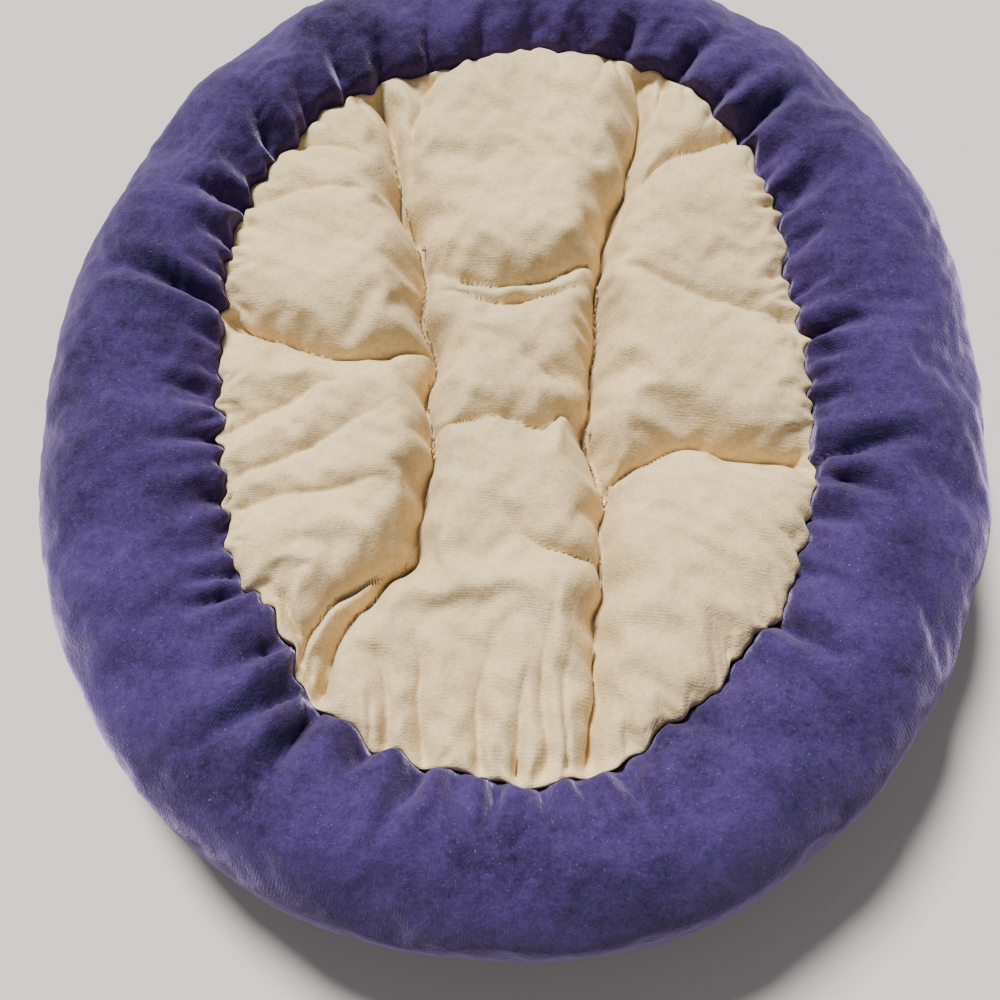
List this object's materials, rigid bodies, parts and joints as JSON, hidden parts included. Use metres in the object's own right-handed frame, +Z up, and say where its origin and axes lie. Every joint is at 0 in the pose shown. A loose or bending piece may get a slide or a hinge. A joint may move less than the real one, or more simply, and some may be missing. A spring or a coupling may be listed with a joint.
{
  "type": "pet cushion bed",
  "caption": "Oval pet bed: a plush pad stitched into lengthwise channels inside a stuffed velour ring, open at the top.",
  "frame": {"origin": "middle of the footprint, on the surface that the bed stands on", "axes": "+Z up; +Y along the length, towards the back; +X to the right, seen from the front where the ends of the ring's strip meet"},
  "size_m": [0.54, 0.626, 0.096],
  "materials": {
    "bolster_velour": "violet-blue velour with a short brushed pile",
    "pad_plush": "beige plush with a short pile on a fine knitted back",
    "fibre_filling": "loose white polyester fibre",
    "pad_thread": "matte beige sewing thread",
    "bolster_thread": "matte violet-blue sewing thread"
  },
  "bodies": {
    "root": {"bolster_cover": "bolster_velour", "bolster_fill": "fibre_filling", "pad_top_panel": "pad_plush", "pad_base_panel": "pad_plush", "pad_fill_left": "fibre_filling", "pad_fill_centre": "fibre_filling", "pad_fill_right": "fibre_filling", "channel_stitch_left": "pad_thread", "channel_stitch_right": "pad_thread", "tack_back_left": "pad_thread", "tack_back_right": "pad_thread", "tack_front_left": "pad_thread", "tack_front_right": "pad_thread", "ring_seam_thread": "bolster_thread", "gathering_thread": "bolster_thread", "strip_end_seam_thread": "bolster_thread", "filling_slit_stitches": "bolster_thread"}
  },
  "joints": []
}
